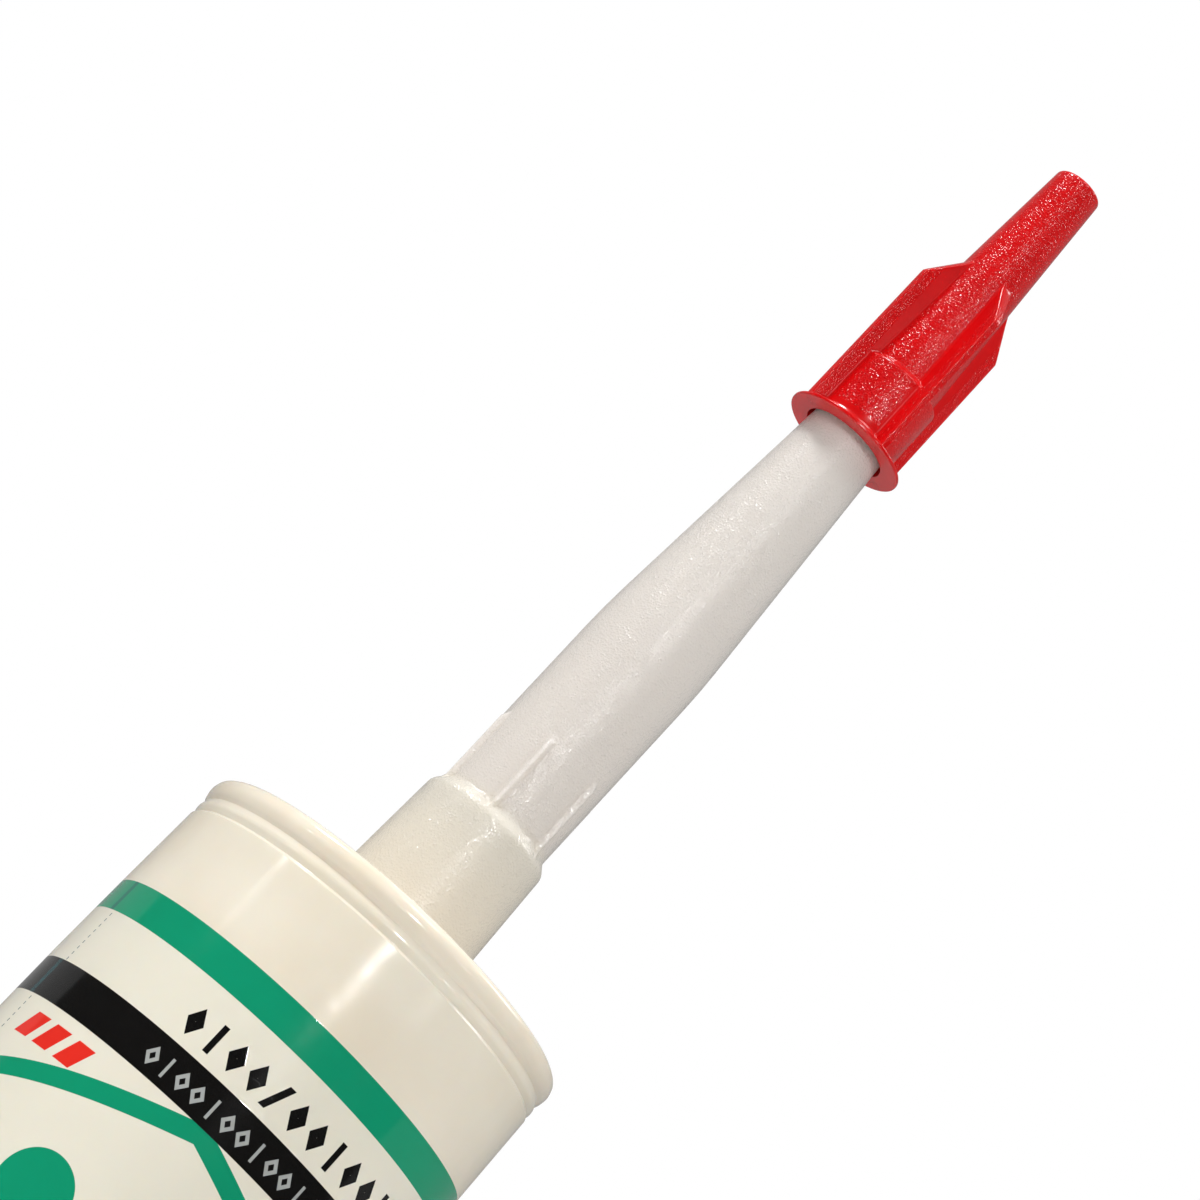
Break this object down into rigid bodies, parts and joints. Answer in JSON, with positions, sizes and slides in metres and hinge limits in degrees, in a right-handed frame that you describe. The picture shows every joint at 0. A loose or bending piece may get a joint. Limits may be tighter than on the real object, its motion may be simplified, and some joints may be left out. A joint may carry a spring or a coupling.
{
  "type": "caulk tube",
  "caption": "Sealant cartridge: straight barrel with push-in plunger, screw-on tapered nozzle and finned push-on cap.",
  "frame": {"origin": "centre of the rear rim's face, on which the tube stands", "axes": "+Z along the axis towards the nozzle; -Y is the printed front"},
  "size_m": [0.05, 0.05, 0.3352],
  "materials": {
    "barrel_plastic": "creamy white polyethylene, semi-gloss, with printed bands",
    "plunger_plastic": "natural white polyethylene",
    "sealant": "soft white paste",
    "nozzle_plastic": "frosted translucent polyethylene with a fine sparkling grain",
    "cap_plastic": "red polyethylene, smooth edges and finely grained fields"
  },
  "bodies": {
    "barrel": {"barrel": "barrel_plastic", "sealant": "sealant"},
    "plunger": {"plunger": "plunger_plastic"},
    "nozzle": {"nozzle": "nozzle_plastic"},
    "cap": {"nozzle_cap": "cap_plastic"}
  },
  "joints": [
    {"name": "plunger_push", "type": "slide", "parent": "barrel", "child": "plunger", "axis": [0, 0, 1], "range_m": [0, 0.1785], "deforming": ["sealant"]},
    {"name": "nozzle_unscrew", "type": "slide", "parent": "barrel", "child": "nozzle", "axis": [0, 0, 1], "range_m": [0, 0.02]},
    {"name": "cap_pull", "type": "slide", "parent": "nozzle", "child": "cap", "axis": [0, 0, 1], "range_m": [0, 0.045]}
  ]
}
